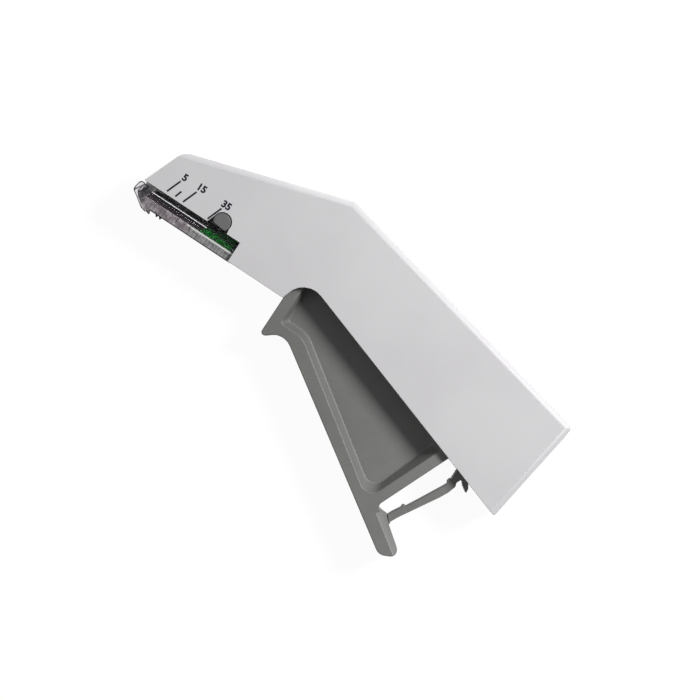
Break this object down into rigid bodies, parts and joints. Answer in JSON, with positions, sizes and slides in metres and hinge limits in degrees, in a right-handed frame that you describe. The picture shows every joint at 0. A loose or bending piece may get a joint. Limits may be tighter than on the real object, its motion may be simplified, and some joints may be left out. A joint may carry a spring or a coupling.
{
  "type": "skin stapler",
  "caption": "Hand-held skin stapler: off-white moulded body, grey squeeze trigger with a curved return arm, and a clear nose cartridge with a sprung row of steel staples.",
  "frame": {"origin": "middle of the footprint on the flat right side, on which the instrument lies", "axes": "+X along the staple row from the nose to the tail, +Y towards the back of the handle, +Z out of the left side, which faces the camera"},
  "size_m": [0.1559, 0.0878, 0.017],
  "materials": {
    "body_plastic": "satin",
    "grey_plastic": "matt, fine grain",
    "clear_plastic": "polished, clear",
    "green_plastic": "glossy",
    "dark_plastic": "matt",
    "staple_steel": "bright drawn wire",
    "anvil_steel": "stamped, bright",
    "blade_steel": "ground",
    "spring_steel": "drawn wire"
  },
  "bodies": {
    "housing": {"left_housing": "body_plastic", "right_housing": "body_plastic", "cartridge_body": "clear_plastic", "cartridge_cover": "clear_plastic", "anvil_plate": "anvil_steel", "ejector_spring": "spring_steel", "spring_guide_rod": "spring_steel", "spring_end_plug": "dark_plastic", "follower_spring": "spring_steel", "staples": "staple_steel", "front_staple": "staple_steel"},
    "trigger": {"trigger": "grey_plastic", "return_spring_arm": "grey_plastic"},
    "former": {"former_carrier": "dark_plastic", "former_blade": "blade_steel"},
    "follower": {"staple_follower": "green_plastic"}
  },
  "joints": [
    {"name": "trigger_squeeze", "type": "hinge", "parent": "housing", "child": "trigger", "pos_m": [-0.0491, 0.01598, 0.0085], "axis": [0, 0, 1], "range_deg": [0, 14.6], "stiffness_Nm_per_rad": 2, "springref_deg": -5.73, "deforming": ["return_spring_arm"]},
    {"name": "former_slide", "type": "slide", "parent": "housing", "child": "former", "axis": [-0.3665, -0.9304, 0], "range_m": [0, 0.0047], "deforming": ["front_staple"]},
    {"name": "follower_slide", "type": "slide", "parent": "housing", "child": "follower", "axis": [-1, 0, 0], "range_m": [0, 0.01955], "deforming": ["follower_spring", "staples"]}
  ],
  "couplings": [
    {"joint": "former_slide", "follows": "trigger_squeeze", "m_per_rad": 0.01824}
  ]
}
